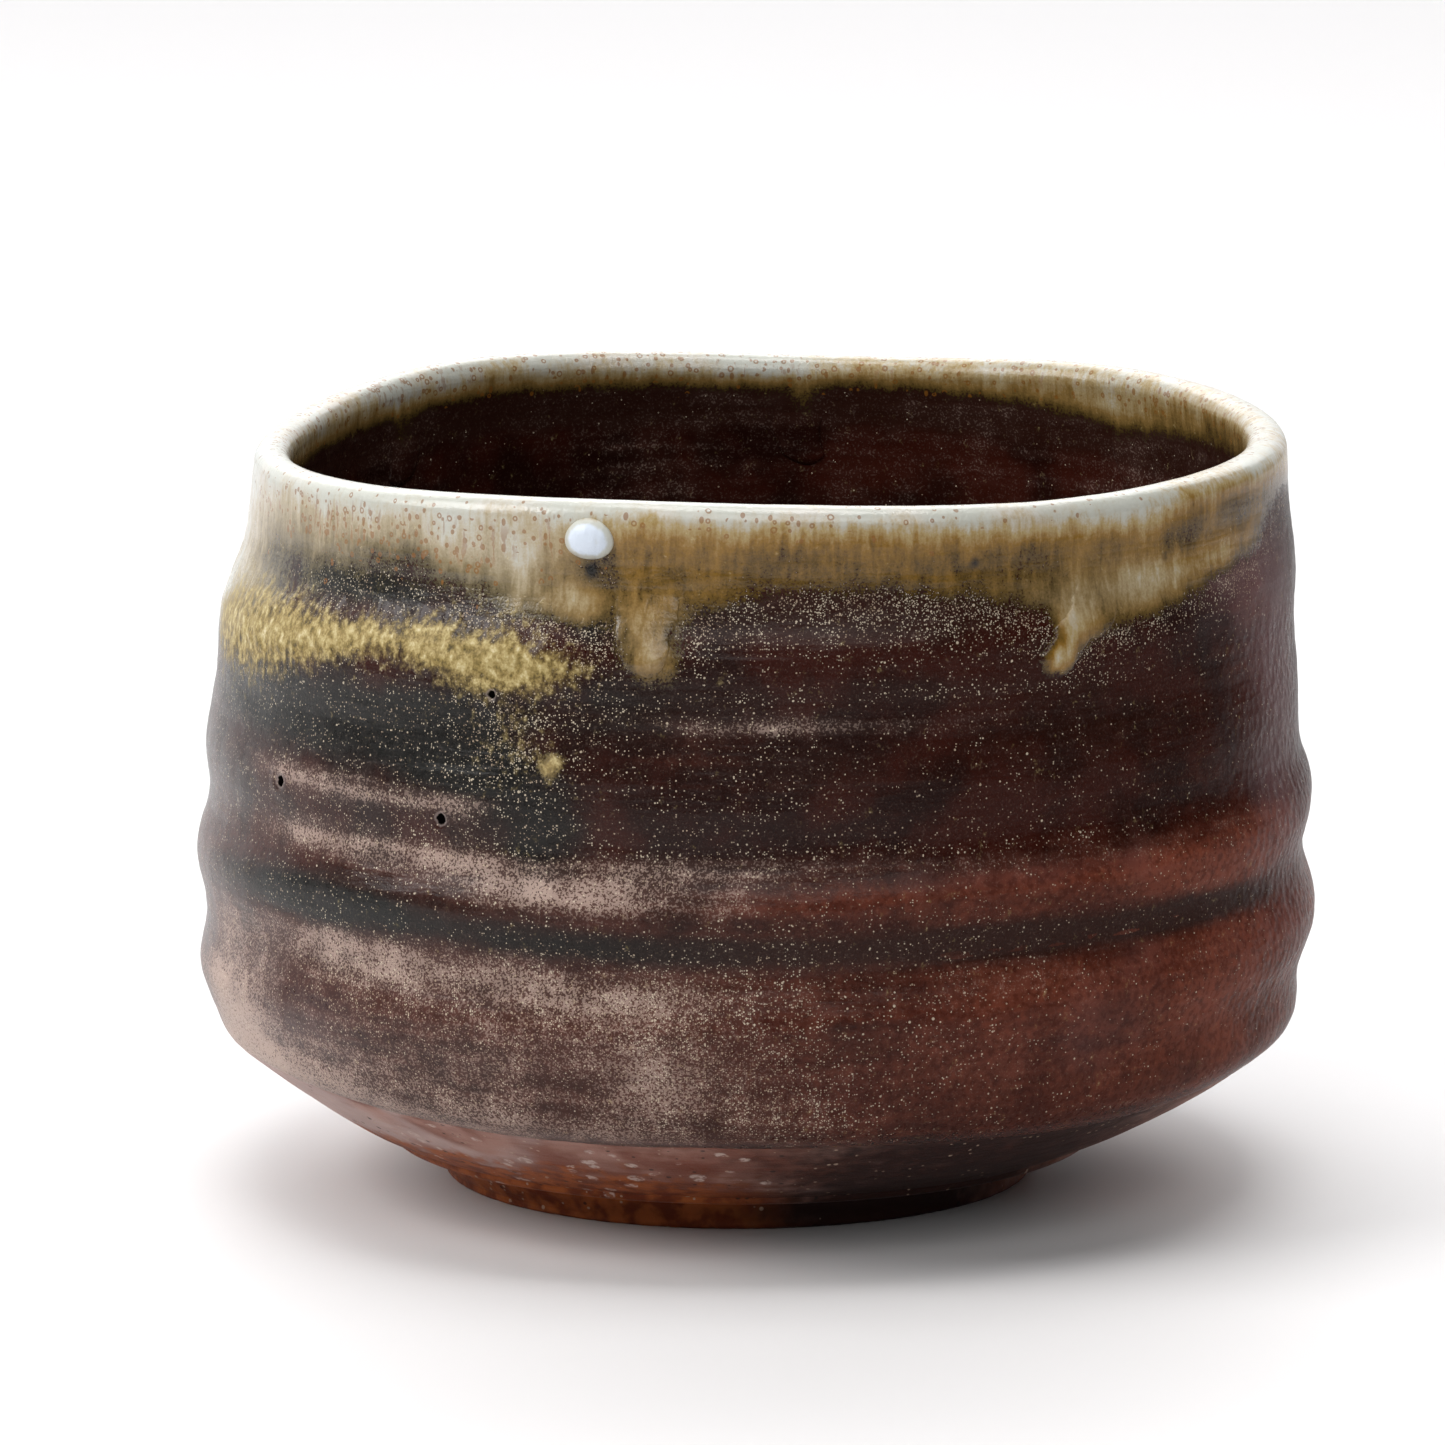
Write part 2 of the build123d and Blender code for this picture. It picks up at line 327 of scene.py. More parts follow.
# Soft patches of each paint on the outside; bare is where there is no dust
PATCHES = {
    "ash": [
        (-174, 71, 12, 12, 0.3), (-116, 73, 2.6, 4, 0.22), (-101.3, 67.2, 4.4, 3.4, 0.5),
        (-131, 73, 7, 2, -0.18), (-57, 63.8, 2.2, 1.9, 0.72), (-54.5, 66.5, 2.6, 2.4, 0.55),
        (-46, 70.6, 10, 2.6, 0.24), (38, 67.8, 3.6, 3, 0.5), (96, 64.5, 4, 5, 0.55),
        (-111, 53.8, 1.5, 1.5, 0.45), (-115, 56.5, 5, 5, 0.16), (-168, 63, 8, 6, 0.3),
        (-128, 69.8, 8, 1.8, -0.2), (-143, 69.4, 11, 1.8, -0.24), (-134, 71.4, 22, 1.4, -0.07),
        (-107.5, 74, 3, 2.4, -0.12), (-85, 74.6, 14, 1.2, 0.04), (-110, 69.8, 3.4, 2.2, 0.42),
        (-35, 71.4, 10, 1.6, 0.12), (-120, 75.4, 8, 2.6, 0.16), (-100.4, 64.2, 2.6, 2.4, 0.42),
        (-50, 77.2, 14, 1.5, 0.13), (-22, 77, 9, 2, -0.12), (-85, 75, 8, 1.6, -0.06),
        (-26, 71.6, 8, 2.4, 0.16),
    ],
    "ochre": [(-50, 70, 14, 3, -0.55), (-101, 67, 7, 5, -0.4)],
    "cream": [
        (-115, 56.5, 4.5, 5, 0.28), (-111, 53.8, 1.5, 1.5, 0.6), (-118, 68.6, 7, 2.4, 0.3),
        (-120, 61.2, 5, 1.5, 0.3), (-131, 64.8, 3.5, 3, -0.26),
    ],
    # Ash dust; the rows at (-156, 24) and (-156, 15) on the lower left edge are painted sheen.
    "dust_and_sheen": [
        (-139, 49.2, 16, 1.9, 0.68), (-121, 49, 6, 1.3, 0.4), (-142, 43.4, 13, 2, 0.6),
        (-124, 43.2, 13, 2, 0.68), (-112, 40.4, 13, 2.3, 0.8), (-99, 43.4, 12, 2.1, 0.62),
        (-98, 40, 9, 2, 0.4), (-130, 31.2, 24, 2.2, 0.52), (-106, 30, 12, 2.8, 0.26), (-124, 22, 30, 9, 0.32),
        (-100, 23, 12, 7, 0.28), (-118, 15.3, 28, 2.4, 0.36), (-156, 24, 12, 11, 0.65),
        (-60, 43.6, 32, 1.5, 0.26), (-60, 31, 34, 2.2, 0.2), (-82, 58.3, 16, 1.2, 0.62),
        (-32, 69, 9, 2.2, 0.45), (-156, 15, 16, 5, 1.2), (-30, 40, 12, 6, 0.12), (-132, 33.8, 20, 1.6, 0.45),
        (-88, 20.5, 26, 6, 0.18), (-84, 67.4, 12, 1.2, 0.3), (-140, 19, 14, 3, 0.2),
    ],
    "bare": [(-113, 46.4, 4.5, 3.5, 0.5), (-141, 37.2, 22, 2.2, 0.9), (-120, 52.4, 7, 1.8, 0.5)],
    # Black and blue-black iron glaze; the long rows under the crest at (-140, 37.2), (-106, 35.5) and (-58,
    # 35.3) also darken it as painted shade.
    "dark": [
        (-145, 56.2, 22, 4.8, 1.2), (-124, 56.5, 9, 5.5, 0.8), (-140, 37.2, 22, 2.8, 1.2),
        (-112, 47, 6, 6, 0.9), (-104, 60, 10, 5, 0.55), (-106, 35.5, 16, 2, 0.55), (-80, 69.6, 24, 2.7, 1.2),
        (-107, 69.2, 3, 3, 0.8), (-74, 61.4, 30, 1.6, 0.45), (-60, 64.8, 7, 1.8, 0.5),
        (-58, 35.3, 42, 2.1, 1.35), (-84, 53.5, 9, 2.5, 0.35), (150, 56, 22, 5, 0.9), (120, 37, 26, 3, 0.8),
        (60, 69, 20, 2.4, 0.8), (10, 66, 16, 3, 0.4), (-138, 69.8, 17, 1.8, 0.95), (-120, 52.6, 6, 2, 0.8),
        (-50, 56, 34, 6, 0.45), (-96, 30.5, 9, 2.5, 0.25),
    ],
    # Brick-red iron glaze; the rows at (-25, 22) and (-26, 42) near the right edge also brighten it as
    # painted sheen.
    "red": [
        (-46, 41, 36, 2, 0.34), (-26, 42, 12, 3, 0.4), (-25, 22, 12, 9, 0.45), (-60, 22, 30, 7, 0.16),
        (-42, 30.4, 30, 2.2, 0.26), (-26, 39, 14, 2.4, 0.28), (-84, 39.6, 12, 1.6, 0.12),
        (-82, 24, 14, 8, 0.18), (-32, 27, 14, 9, 0.22), (-97, 56, 6, 3, 0.2), (-24, 66.5, 7, 3, 0.45),
        (-24, 60, 8, 5, 0.3), (-42, 50, 30, 6, 0.12), (40, 30, 40, 9, 0.4), (90, 52, 20, 4, 0.3),
        (-104, 26, 12, 8, 0.12),
    ],
    # Painted sheen: a lavender-grey painted reflection of the bright surroundings near the left and right
    # edges.
    "violet_sheen": [
        (-55, 24, 12, 6, 0.3), (-30, 70, 10, 4, 0.7), (-16, 62, 9, 12, 0.6), (-150, 24, 20, 8, 0.45),
        (170, 30, 20, 16, 0.4), (-58, 42, 18, 2, 0.35), (-40, 31, 16, 3, 0.3), (-17, 48, 13, 26, 0.75),
    ],
    "speck": [
        (-80, 68.5, 24, 3, 0.6), (-114, 56, 7, 5, 1), (-70, 61.2, 32, 0.5, 0.7), (-92, 25, 16, 8, 0.9),
        (-88, 18.6, 7, 2.2, 1), (-107, 67, 5, 4, 1.1), (-118, 59, 12, 3, 0.3), (-75, 45.4, 28, 0.6, 0.4),
        (-118, 30, 26, 3, 0.5), (60, 66, 30, 3.5, 0.8), (-52, 66, 8, 2.5, 0.5), (-32, 70, 10, 4, 0.8),
        (-120, 44, 26, 3, 0.4),
    ],
    "rust": [
        (-150, 75.8, 18, 2.8, 1), (-126, 75.6, 12, 3, 1.1), (-112, 77, 4, 2.5, 0.8),
        (-86.5, 78.4, 0.8, 2, 1.5), (-70, 79.2, 40, 1.2, 0.45), (120, 77, 40, 2, 0.6),
    ],
    "hole": [(-107.6, 73.8, 1, 1.1, 0.7), (-66, 74.3, 0.8, 0.8, 0.6), (-41, 72.8, 0.7, 0.7, 0.5)],
}

PAINTS = [
    "ash", "ochre", "cream", "dust_and_sheen", "dark", "red", "violet_sheen", "speck", "rust", "hole", "leather", "gloss",
]


def paint_outside(angle, height):
    """The amounts of each thing on the outside, each from 0 to 1 or a little over."""
    spots = wall_points(angle, height, OUTER_RADIUS)
    drift = clouds(spots, 16, 3, 21)
    ripple = clouds(spots * TALL, 5, 3, 25)
    fire = 0.5 + 0.5 * np.cos(np.radians(angle - FIRE_SIDE))
    local = {key: patches(angle, height, rows) for key, rows in PATCHES.items()}

    # Thickness of the ash glaze: 1 is pale and milky, 0.5 is ochre, and under 0.3 it breaks up into specks
    drop = np.clip(lip_height(angle) - height, 0, 60)
    left = span(angle, -200, -112, 22)
    thick_left = 0.42 + 0.58 * np.exp(-((drop / 4.6) ** 1.3))
    # Painted shade: the ash is made thinner, and so darker, on the right from -48 to 20, the side away from
    # the key light.
    thick_right = 0.43 + (0.62 - 0.14 * span(angle, -48, 20, 30)) * np.exp(-((drop / 2.9) ** 1.6))
    ash = thick_left * left + thick_right * (1 - left) + 0.10 * ripple + 0.08 * drift
    line = follow(angle, ASH_LINE) + 1.1 * ripple
    ash = ash * smooth(height, line - 3.6, line + 1.4) + local["ash"]

    crust_line = follow(angle, CRUST_LINE) + 0.8 * ripple
    crust_half = 2.3 + 2.6 * smooth(turn_between(angle, -148), 12, -10) + 0.5 * ripple
    cream = span(angle, -172, -109, 14) * np.exp(-(((height - crust_line) / crust_half) ** 2))
    cream = cream + 0.75 * span(angle, 128, 172, 14) * np.exp(-(((height - 66) / 2.2) ** 2))

    turns = (height - SPIRAL_START) / SPIRAL_RISE - turn_between(angle, 0) / 360
    ledge = np.clip(np.cos(TAU * (turns - 0.12)), -0.3, 1)
    dust_and_sheen = span(angle, 60, 190, 50) * smooth(ledge, 0.0, 1.0) * smooth(height, 56, 48) * 0.6
    red = smooth(height, 47, 41) * (0.28 + 0.24 * smooth(fire, 0.85, 0.3))
    frost = np.exp(-(((ash - 0.18) / 0.15) ** 2)) * smooth(height, line - 7.5, line - 3)
    speck = 0.05 + 0.33 * fire**2 + (1.5 - 1.1 * span(angle, -175, -124, 12)) * frost
    leather = smooth(np.abs(turn_between(angle, -8)), 34, 14) * smooth(height, 16, 22)
    return {
        "ash": ash,
        "ochre": 1 - 0.8 * span(angle, -190, -110, 18) + local["ochre"],
        "cream": cream + local["cream"],
        "dust_and_sheen": (dust_and_sheen + local["dust_and_sheen"]) * (1 + 0.8 * drift) - local["bare"],
        "dark": local["dark"] * (1 + 0.5 * drift),
        "red": (red + local["red"]) * (1 + 0.5 * drift),
        "violet_sheen": local["violet_sheen"],
        "speck": (speck + local["speck"]) * (1 + 0.9 * drift),
        "rust": local["rust"],
        "hole": local["hole"],
        "leather": leather * smooth(height, 68, 60),
        "gloss": fire,
    }


def paint_inside(angle, height):
    """The same for the inside."""
    spots = wall_points(angle, height, INNER_RADIUS)
    ripple = clouds(spots * TALL, 6, 3, 31)
    drift = clouds(spots, 18, 3, 35)
    depth = lip_height(angle) - height
    line = lip_height(angle) - follow(angle, INSIDE_REACH) + 0.9 * ripple
    # Painted light: the ash inside is made thicker, and so paler, from 92 to 215, on the back left.
    ash = 0.42 + 0.12 * span(angle, 92, 215, 30) + 0.45 * np.exp(-((np.clip(depth, 0, 90) / 3.0) ** 1.5))
    ash = (ash + 0.14 * ripple + 0.12 * drift) * smooth(height, line - 2.0, line + 1.8)
    ash = ash + patches(angle, height, [
        (90, 78, 5, 3.0, 0.2), (42, 76, 7, 3.0, 0.25), (84, 76, 2.5, 2.4, 0.3), (140, 75, 2.5, 2, 0.3),
    ])
    return {
        **dict.fromkeys(PAINTS, 0.0),
        "ash": ash,
        "ochre": 0.75,
        "dust_and_sheen": 0.22 + 0.3 * drift,
        "dark": 1.1 * smooth(height, line - 7, line - 2),
        "red": (0.04 + 0.2 * drift) * smooth(height, line - 3, line - 8),
        "speck": 0.02,
        "rust": 0.7 * smooth(depth, 5, 2),
        "gloss": 0.5,
    }


# ---------------- making meshes

SKIN = 0.35  # how deep a glaze skin's hidden back lies
SHARP_TURN = 60  # edges that turn more than this many degrees are shaded sharp


def make_object(name, points, faces, paints, sharp_turn=SHARP_TURN):
    """A smooth-shaded object, with its paints as numbers on its points."""
    mesh = bpy.data.meshes.new(name)
    mesh.from_pydata((points * MM).tolist(), [], faces)
    mesh.validate()
    mesh.shade_smooth()
    mesh.set_sharp_from_angle(angle=math.radians(sharp_turn))
    for paint, amounts in paints.items():
        layer = mesh.attributes.new(paint, "FLOAT", "POINT")
        layer.data.foreach_set("value", np.asarray(amounts, dtype=np.float32).ravel())
    thing = bpy.data.objects.new(name, mesh)
    bpy.context.scene.collection.objects.link(thing)
    return thing


def bridge(first, second):
    """Faces between two rows of point numbers that each close on themselves.

    They face outwards where both go anticlockwise seen from above and the first is the lower.
    """
    return np.stack([first, np.roll(first, -1), np.roll(second, -1), second], -1).tolist()


def fan(row, centre):
    """Triangles between such a row and one point."""
    return [(a, b, centre) for a, b in zip(row.tolist(), np.roll(row, -1).tolist())]


def hoops(grid):
    """Faces between rows of point numbers that each go right round."""
    return [face for low, high in zip(grid[:-1], grid[1:]) for face in bridge(low, high)]


def flipped(faces):
    return [face[::-1] for face in faces]


def ring_skin(name, seen, hidden, paints, closed=False, sharp_turn=50):
    """A closed skin that goes right round: a seen face, and a hidden back of as many rows or fewer.

    The last rows are joined to each other, or each close on the middle where closed is set.
    """
    rows, around = seen.shape[:2]
    front = np.arange(rows * around).reshape(rows, around)
    back = front.size + np.arange(len(hidden) * around).reshape(-1, around)
    faces = hoops(front) + flipped(hoops(back)) + bridge(back[0], front[0])
    points = [seen.reshape(-1, 3), hidden.reshape(-1, 3)]
    if closed:
        centre = front.size + back.size
        faces += fan(front[-1], centre) + flipped(fan(back[-1], centre + 1))
        points.append([seen[-1].mean(0), hidden[-1].mean(0)])
    else:
        faces += bridge(front[-1], back[-1])
    nearest = np.linspace(0, rows - 1, len(hidden)).astype(int)
    full = {}
    for key in PAINTS:
        grid = np.broadcast_to(paints[key], (rows, around))
        full[key] = np.concatenate([grid.ravel(), grid[nearest].ravel(), [grid[-1, 0]] * 2 * closed])
    return make_object(name, np.concatenate(points), faces, full, sharp_turn)


def patch_skin(name, angle, height, seen_radius, hidden_radius, paints):
    """A closed piece on the wall: a grid of seen points, and a grid of hidden points behind it."""
    seen = wall_points(angle, height, seen_radius)
    hidden = wall_points(angle, height, hidden_radius)
    rows, columns = seen.shape[:2]
    index = np.arange(rows * columns).reshape(rows, columns)
    quads = np.stack([index[:-1, :-1], index[:-1, 1:], index[1:, 1:], index[1:, :-1]], -1).reshape(-1, 4)
    border = np.concatenate([index[0], index[1:, -1], index[-1, -2::-1], index[-2:0:-1, 0]])
    faces = flipped(quads.tolist()) + (quads + index.size).tolist() + bridge(border, border + index.size)
    points = np.concatenate([seen.reshape(-1, 3), hidden.reshape(-1, 3)])
    full = {key: np.tile(np.broadcast_to(paints[key], (rows, columns)).ravel(), 2) for key in PAINTS}
    return make_object(name, points, faces, full, sharp_turn=70)


def pull_in(points, depth):
    """Points moved into the wall along the surface's own normal."""
    along = np.gradient(points, axis=0)
    across = np.roll(points, -1, axis=1) - np.roll(points, 1, axis=1)
    normal = np.cross(across, along)
    normal /= np.linalg.norm(normal, axis=-1, keepdims=True)
    return points - normal * depth


# ---------------- the glazes of the wall


def glazed_radius(angle, height):
    return outside(angle, height) + outside_relief(angle, height)


def build_outer_glaze():
    """The outside between two edges that rise and fall."""
    angle = round_angles(740)
    rows = count(118)
    height = outer_bottom(angle) + (outer_top(angle) - outer_bottom(angle)) * column(0, 1, rows)
    radius = glazed_radius(angle, height)
    few = np.linspace(0, rows - 1, rows // 8).astype(int)
    seen = wall_points(angle, height, radius)
    hidden = wall_points(angle, height[few], radius[few] - SKIN)
    return ring_skin("glaze_outside", seen, hidden, paint_outside(angle, height))


def build_rim_glaze():
    """The ash glaze over the lip, from the edge of the outer glaze to the edge of the inner one."""
    angle = round_angles(900)
    shoulder = lip_height(angle) - LIP_ROUND
    low = outer_top(angle)
    height = low + (shoulder - low) * column(0, 1, count(26), endpoint=False)
    wall = wall_points(angle, height, glazed_radius(angle, height))
    wall_paint = paint_outside(angle, height)

    outer = glazed_radius(angle, shoulder)
    inner = inside(angle, shoulder)
    bend = column(0, np.pi, count(22))
    width = np.sign(np.cos(bend)) * np.abs(np.cos(bend)) ** 0.9
    height = shoulder + LIP_ROUND * np.sin(bend) ** 0.9
    lip = wall_points(angle, height, (outer + inner) / 2 + (outer - inner) / 2 * width)
    lip[..., 2] += 0.06 * clouds(lip, 7, 2, 41) * np.sin(bend)
    out, into = paint_outside(angle, height), paint_inside(angle, height)
    share = smooth(bend, 1.1, 2.0)
    lip_paint = {key: out[key] * (1 - share) + into[key] * share for key in PAINTS}

    height = shoulder + (inner_top(angle) - shoulder) * column(0, 1, count(24) + 1)[1:]
    throat = wall_points(angle, height, inside(angle, height))
    throat_paint = paint_inside(angle, height)

    blocks = [(wall, wall_paint), (lip, lip_paint), (throat, throat_paint)]
    seen = np.concatenate([points for points, _ in blocks])
    paints = {
        key: np.concatenate([np.broadcast_to(paint[key], points.shape[:2]) for points, paint in blocks])
        for key in PAINTS
    }
    back = pull_in(seen, SKIN)
    hidden = back[::3]
    hidden[-1] = back[-1]
    return ring_skin("glaze_rim", seen, hidden, paints)


def floor_points(angle, dip, deeper=0.0):
    """The inside, or the clay this far under it, at these angles below level as seen from MIDDLE."""
    away = inside_floor(angle, dip) + deeper
    turn = np.radians(dip)
    return wall_points(angle, MIDDLE + away * np.sin(turn), away * np.cos(turn))


def build_inner_glaze():
    """The inside: straight rows down to MIDDLE, and then a fan of rows to the middle of the floor."""
    angle = round_angles(560)
    top = inner_top(angle)
    height = top + (MIDDLE - top) * column(0, 1, count(46), endpoint=False)
    wall = wall_points(angle, height, inside(angle, height))
    seen = np.concatenate([wall, floor_points(angle, column(0, -89.6, count(98)))])
    radius = np.linalg.norm(seen[..., :2], axis=-1, keepdims=True)
    flat = smooth(seen[..., 2:], 30, 16)
    inwards = np.concatenate([-seen[..., :2] / radius * (1 - flat), flat], -1)
    relief = 0.05 * clouds(seen * np.array([0.1, 0.1, 1.0]), 2.0, 2, 51) + 0.10 * clouds(seen, 12, 2, 55)
    fade = smooth(top - seen[..., 2], 0, 6) * smooth(radius[..., 0], 1, 6)
    seen = seen + inwards * (relief * fade)[..., None]
    paints = paint_inside(angle, seen[..., 2])
    return ring_skin("glaze_inside", seen, pull_in(seen, SKIN)[::5], paints, closed=True)


# ---------------- runs, ash crust and bead


def soft_line(share, places, values):
    """Values between the places, eased so that the line has no corners."""
    fine = np.linspace(0, 1, 200)
    line = np.interp(fine, places, values)
    weights = np.exp(-0.5 * (np.arange(-24, 25) / 9.0) ** 2)
    line = np.convolve(np.pad(line, 24, mode="reflect", reflect_type="odd"), weights / weights.sum(), "valid")
    return np.interp(share, fine, line)


def drop_shape(side, share):
    """Thickness of a run: it rises slowly out of the glaze, with a rounded section and a fuller tip."""
    section = np.sqrt(np.clip(1 - side**2, 0, 1))
    tip = np.sqrt(np.clip(1 - smooth(share, 0.86, 1.0), 0, 1))
    return section * smooth(share, 0.02, 0.5) * tip * (0.65 + 0.35 * share)


# Each run's (angle, height, half width, thickness) from its top to its tip
OUTER_RUNS = {
    "run_front": [
        (-101.5, 75.5, 4.2, 0.25), (-101.2, 71, 3.5, 0.4), (-101.8, 67, 3.0, 0.5),
        (-101.0, 64.6, 2.3, 0.6), (-100.8, 63.2, 0.4, 0.4),
    ],
    "run_right": [
        (-48.5, 72.5, 4.0, 0.2), (-51.5, 69, 3.0, 0.35), (-55.0, 66, 2.0, 0.5),
        (-57.0, 63.6, 2.3, 0.75), (-57.6, 61.7, 0.6, 0.5),
    ],
    "run_back_right": [
        (38.0, 74.5, 3.6, 0.25), (38.4, 71, 2.8, 0.4), (38.0, 67.5, 2.3, 0.55), (37.6, 65.2, 0.5, 0.4),
    ],
    "run_back": [
        (96.0, 74, 4.2, 0.25), (96.6, 69, 3.2, 0.45), (95.8, 64, 2.6, 0.6),
        (96.2, 60.9, 2.2, 0.65), (96.0, 59.6, 0.4, 0.4),
    ],
}
RAGGED = 0.9  # how far the sides of an outer run stray
# Each inner run's angle, the height of its tip and its width
INNER_RUNS = [(84.0, 68.5, 6.0), (38.0, 66.5, 7.0), (16.0, 67.0, 6.0), (140.0, 69.0, 5.5)]
INNER_RUN_TOP = 75.3


def build_outer_run(name, path, seed):
    path = np.array(path, float)
    along = np.concatenate([[0], np.cumsum(np.hypot(np.diff(path[:, 0]), np.diff(path[:, 1])))])
    share = column(0, 1, count(90))
    middle, level, half, thick = [soft_line(share, along / along[-1], path[:, i]) for i in range(4)]
    side = np.linspace(-1, 1, count(56))[None, :]
    slant = np.gradient(middle[:, 0] / degrees_wide(1, OUTER_RADIUS)), np.gradient(level[:, 0])
    normal = np.stack([-slant[1], slant[0]])[..., None] / np.hypot(*slant)[:, None]
    angle = middle + degrees_wide(half * side * normal[0], OUTER_RADIUS)
    height = level + half * side * normal[1]
    rough = wall_points(angle, height, OUTER_RADIUS)
    angle = angle + RAGGED * clouds(rough, 2.0, 2, seed) * np.abs(side) ** 3
    height = height + 0.6 * RAGGED * clouds(rough, 1.6, 2, seed + 3) * np.abs(side) ** 3
    wall = glazed_radius(angle, height)
    rise = drop_shape(side, share) * thick + 0.12 * thick * clouds(rough, 2.4, 2, seed + 7) * (1 - side**4)
    return patch_skin(name, angle, height, wall + rise - 0.03, wall - 0.12, paint_outside(angle, height))


def build_outer_runs():
    return [build_outer_run(name, path, 61 + 5 * i) for i, (name, path) in enumerate(OUTER_RUNS.items())]


def build_inner_runs():
    """Thick runs inside, at the places of the CAD model's runs."""
    runs = []
    share = column(0, 1, count(60))
    side = np.linspace(-1, 1, count(44))[None, :]
    for i, (middle, tip, width) in enumerate(INNER_RUNS):
        half = width / 2 * (1 - 0.25 * share) * np.sqrt(np.clip(1 - smooth(share, 0.8, 1.02), 0.02, 1))
        height = INNER_RUN_TOP + (tip - INNER_RUN_TOP) * share
        angle = middle - degrees_wide(side * half, INNER_RADIUS) + 0.8 * np.sin(share * 4 + i)
        wall = inside(angle, height)
        front = wall - 0.55 * drop_shape(side, share) + 0.03
        paints = paint_inside(angle, height)
        runs.append(patch_skin(f"run_inside_{i + 1}", angle, height, front, wall + 0.15, paints))
    return runs


def build_ash_crust():
    """The lumpy crust of half-melted ash along the ledge on the left shoulder."""
    side = column(-1, 1, count(64))
    share = np.linspace(1, 0, count(330))[None, :]
    angle = -164 + 56 * share + 0 * side
    rough = wall_points(angle, 64 + 4 * side, OUTER_RADIUS)
    line = 64.6 + 0.8 * np.sin(np.radians(angle * 5)) + 0.9 * clouds(rough, 5, 3, 25)
    height = line + side * 4.2
    spots = wall_points(angle, height, OUTER_RADIUS)
    streaky = spots * np.array([1.0, 1.0, 0.6])
    cover = 1.15 - side**2 * 1.25 + 0.55 * clouds(streaky, 2.4, 3, 71) - smooth(share, 0.75, 1.0) * 0.5
    cover = cover * smooth(share, 0, 0.06) * smooth(share, 1.0, 0.9)
    rise = 0.36 * smooth(cover, 0.2, 1.1) + 0.05 * clouds(spots, 0.9, 2, 75) * smooth(cover, 0.3, 0.8)
    wall = glazed_radius(angle, height)
    paints = paint_outside(angle, height)
    return patch_skin("crust_of_ash", angle, height, wall + rise - 0.05, wall - 0.2, paints)


def build_bead():
    """The bead of pooled glaze under the lip, where the CAD model has it, in rings from its edge inwards."""
    middle = sum(np.array(corner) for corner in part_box("glaze_bead")) / 2 / MM
    centre_angle = math.degrees(math.atan2(middle[1], middle[0]))
    out = column(1, 0.02, count(40))
    turn = np.linspace(0, TAU, count(64), endpoint=False)[None, :]
    half_wide, half_tall = 2.7, 2.15
    angle = centre_angle + degrees_wide(half_wide * out * np.cos(turn) * (1 - 0.12 * np.sin(turn)), 56)
    height = middle[2] - 0.2 + half_tall * out * np.sin(turn)
    wall = glazed_radius(angle, height)
    rise = 0.98 * np.clip(1 - out**2.3, 0, 1) ** 0.72 - 0.04
    mottle = clouds(wall_points(angle, height, OUTER_RADIUS), 1.6, 2, 121)
    paints = paint_outside(angle, height)
    paints.update(ash=1.6 - 0.85 * smooth(out, 0.55, 1.05) + 0.3 * mottle, ochre=0.0, rust=0.0)
    seen = wall_points(angle, height, wall + rise)
    hidden = wall_points(angle, height, wall - 0.25)
    return ring_skin("bead_of_glaze", seen, hidden, paints, closed=True)


# ---------------- clay body and foot

RECESS_RADIUS = 23.5  # of the hollow under the foot
EDGE_HEIGHT = foot_top + 0.9  # of the round lower edge of the wall
EDGE_ROUND = 1.0


def paint_clay(points):
    """Flashing of the bare clay: orange, dark, pale fleck and red amounts. Dark also holds painted shade on
    the lower front right, and red is lowered on the lower left for a painted sheen.
    """
    angle = np.degrees(np.arctan2(points[..., 1], points[..., 0]))
    height = points[..., 2]
    drift = clouds(points, 12, 3, 81)
    rim = smooth(np.hypot(points[..., 0], points[..., 1]), 12, 26)  # the flames reached only this far in
    orange = span(angle, -205, -92, 46) * rim + 0.25 + 0.2 * (1 - rim)
    orange = orange * smooth(height, 12.5, 4) * (1 + 0.6 * drift)
    orange = orange + rim * patches(angle, height, [(-97, 1.5, 9, 3, 0.6), (30, 4, 50, 5, 0.5)])
    # Painted shade: the lower clay on the front right, below a height of 13 to 17, is painted dark.
    dark = 0.85 * smooth(height, 17, 13) * span(angle, -92, -30, 40)
    dark = rim * (dark + patches(angle, height, [(-64, 3, 12, 2.5, 0.8), (60, 3, 30, 3, 0.7)]))
    pale = span(angle, -140, -84, 14) * np.exp(-(((height - 9.5) / 2.6) ** 2))
    pale = pale + 0.4 * span(angle, 90, 160, 20) * np.exp(-(((height - 10) / 2) ** 2))
    # Painted sheen: red is lowered on the lower left, so the clay there turns pale grey-mauve.
    red = 0.55 + drift - 0.55 * rim * span(angle, -205, -118, 44)
    return {"orange": orange, "dark": dark, "pale": pale, "red": red}


def clay_relief(angle, height):
    """Turning marks, grit and a slightly melted surface on the bare clay."""
    spots = wall_points(angle, height, 45.0)
    flat = spots * np.array([0.1, 0.1, 1.0])
    marks = 0.09 * clouds(flat, 1.8, 3, 91) + 0.12 * clouds(spots, 9, 2, 95)
    marks = marks + 0.04 * clouds(spots, 1.6, 2, 97)
    return marks * smooth(height, EDGE_HEIGHT, EDGE_HEIGHT + 0.9)


